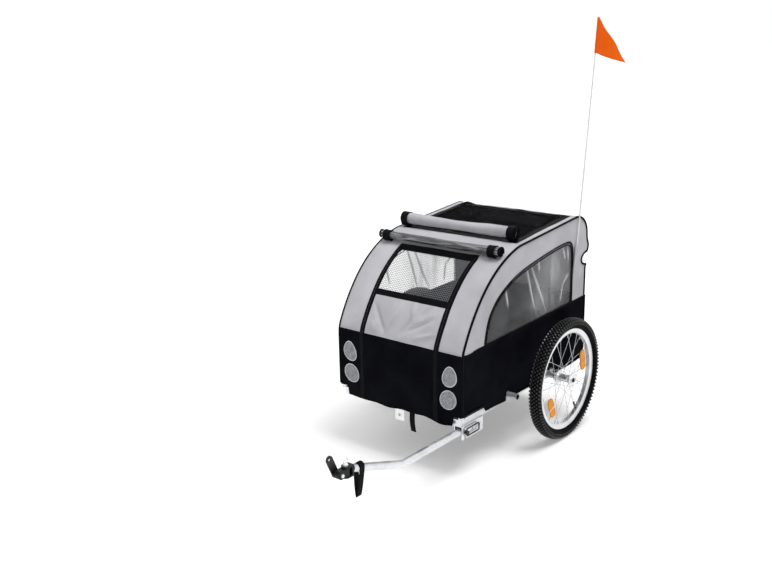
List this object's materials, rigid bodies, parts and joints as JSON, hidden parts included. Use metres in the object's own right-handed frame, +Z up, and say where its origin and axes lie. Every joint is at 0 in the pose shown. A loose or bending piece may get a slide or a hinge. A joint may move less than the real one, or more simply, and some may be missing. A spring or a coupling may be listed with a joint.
{
  "type": "dog bike trailer",
  "caption": "Two-wheeled dog trailer for a bicycle: hooped cabin with windows, mesh roof and front door, spoked wheels, folding tow bar with axle hitch, and a flag.",
  "frame": {"origin": "On the ground, under the middle of the bounding box", "axes": "+X forwards along the tow bar, +Y to the left, +Z up"},
  "size_m": [1.7923, 0.854, 1.6664],
  "materials": {
    "silver_steel": "bright plated",
    "wheel_alloy": "satin",
    "spoke_steel": "bright",
    "tyre": "matte",
    "amber_plastic": "clear moulded",
    "black_plastic": "moulded",
    "black_steel": "satin",
    "floor_plastic": "textured",
    "black_fabric": "coated weave",
    "grey_fabric": "coated weave",
    "mesh_fabric": "open mesh",
    "clear_vinyl": "hazy clear",
    "reflective_tape": "retroreflective",
    "pole_plastic": "smooth",
    "flag_fabric": "thin woven"
  },
  "bodies": {
    "chassis": {"left_side_rail": "silver_steel", "right_side_rail": "silver_steel", "end_rails": "silver_steel", "axle_tube": "silver_steel", "front_cross_tube": "silver_steel", "left_hoop": "silver_steel", "right_hoop": "silver_steel", "hoop_spigots": "silver_steel", "roof_crossbars": "silver_steel", "tow_bracket": "silver_steel", "front_plate": "silver_steel", "stub_axles": "silver_steel", "pivot_bolt": "silver_steel", "axle_bushes": "black_plastic", "floor_board": "floor_plastic", "left_skirt": "black_fabric", "right_skirt": "black_fabric", "rear_skirt": "black_fabric", "front_skirts": "black_fabric", "edge_piping": "black_fabric", "roll_loops": "black_fabric", "hem_strap": "black_fabric", "flag_sleeve": "grey_fabric", "left_side_panel": "grey_fabric", "right_side_panel": "grey_fabric", "front_strips": "grey_fabric", "brow_panel": "grey_fabric", "rear_panel": "grey_fabric", "roof_cover_roll": "grey_fabric", "roof_mesh": "mesh_fabric", "side_windows": "clear_vinyl", "rain_cover_roll": "clear_vinyl", "reflective_patches": "reflective_tape"},
    "left_wheel": {"left_tyre": "tyre", "left_rim": "wheel_alloy", "left_hub": "wheel_alloy", "left_spokes": "spoke_steel", "left_spoke_reflectors": "amber_plastic", "left_valve": "black_plastic"},
    "right_wheel": {"right_tyre": "tyre", "right_rim": "wheel_alloy", "right_hub": "wheel_alloy", "right_spokes": "spoke_steel", "right_spoke_reflectors": "amber_plastic", "right_valve": "black_plastic"},
    "left_knob": {"left_lock_knob": "silver_steel"},
    "right_knob": {"right_lock_knob": "silver_steel"},
    "tow_bar": {"tow_bar_tube": "silver_steel", "bar_clevis": "black_plastic", "safety_strap": "black_fabric"},
    "lock_pin": {"lock_pin": "silver_steel"},
    "pin_bail": {"pin_bail": "black_plastic"},
    "coupler": {"coupler": "black_plastic"},
    "hitch_arm": {"hitch_arm": "black_steel", "arm_bolt": "silver_steel"},
    "hitch_pin": {"hitch_pin": "silver_steel"},
    "front_door": {"door_panel": "black_fabric", "door_mesh": "mesh_fabric"},
    "flag": {"flag_pole": "pole_plastic", "flag_pennant": "flag_fabric"}
  },
  "joints": [
    {"name": "left_wheel_spin", "type": "hinge", "parent": "chassis", "child": "left_wheel", "pos_m": [-0.37689, 0.39, 0.252], "axis": [0, 1, 0], "continuous": true},
    {"name": "right_wheel_spin", "type": "hinge", "parent": "chassis", "child": "right_wheel", "pos_m": [-0.37689, -0.39, 0.252], "axis": [0, 1, 0], "continuous": true},
    {"name": "left_knob_lift", "type": "slide", "parent": "chassis", "child": "left_knob", "axis": [0, 0, 1], "range_m": [0, 0.006], "stiffness_N_per_m": 600, "springref_m": -0.004},
    {"name": "right_knob_lift", "type": "slide", "parent": "chassis", "child": "right_knob", "axis": [0, 0, 1], "range_m": [0, 0.006], "stiffness_N_per_m": 600, "springref_m": -0.004},
    {"name": "tow_bar_fold", "type": "hinge", "parent": "chassis", "child": "tow_bar", "pos_m": [0.09011, 0.27, 0.18818], "axis": [0, 1, 0], "range_deg": [0, 170]},
    {"name": "lock_pin_pull", "type": "slide", "parent": "tow_bar", "child": "lock_pin", "axis": [0, 1, 0], "range_m": [0, 0.06]},
    {"name": "pin_bail_swing", "type": "hinge", "parent": "lock_pin", "child": "pin_bail", "pos_m": [0.18511, 0.2963, 0.18818], "axis": [0, 0, -1], "range_deg": [0, 170]},
    {"name": "coupler_turn", "type": "hinge", "parent": "tow_bar", "child": "coupler", "pos_m": [0.82411, 0.27, 0.27618], "axis": [0, 0, 1], "range_deg": [-60, 60]},
    {"name": "hitch_arm_tip", "type": "hinge", "parent": "coupler", "child": "hitch_arm", "pos_m": [0.85611, 0.27, 0.27618], "axis": [0, 1, 0], "range_deg": [-40, 40]},
    {"name": "hitch_pin_pull", "type": "slide", "parent": "tow_bar", "child": "hitch_pin", "axis": [0, 0, 1], "range_m": [0, 0.05]},
    {"name": "front_door_lift", "type": "hinge", "parent": "chassis", "child": "front_door", "pos_m": [-0.02558, 0, 0.78681], "axis": [0, -1, 0], "range_deg": [0, 100]},
    {"name": "flag_lift", "type": "slide", "parent": "chassis", "child": "flag", "axis": [-0.1208, 0, 0.9927], "range_m": [0, 0.15]}
  ]
}
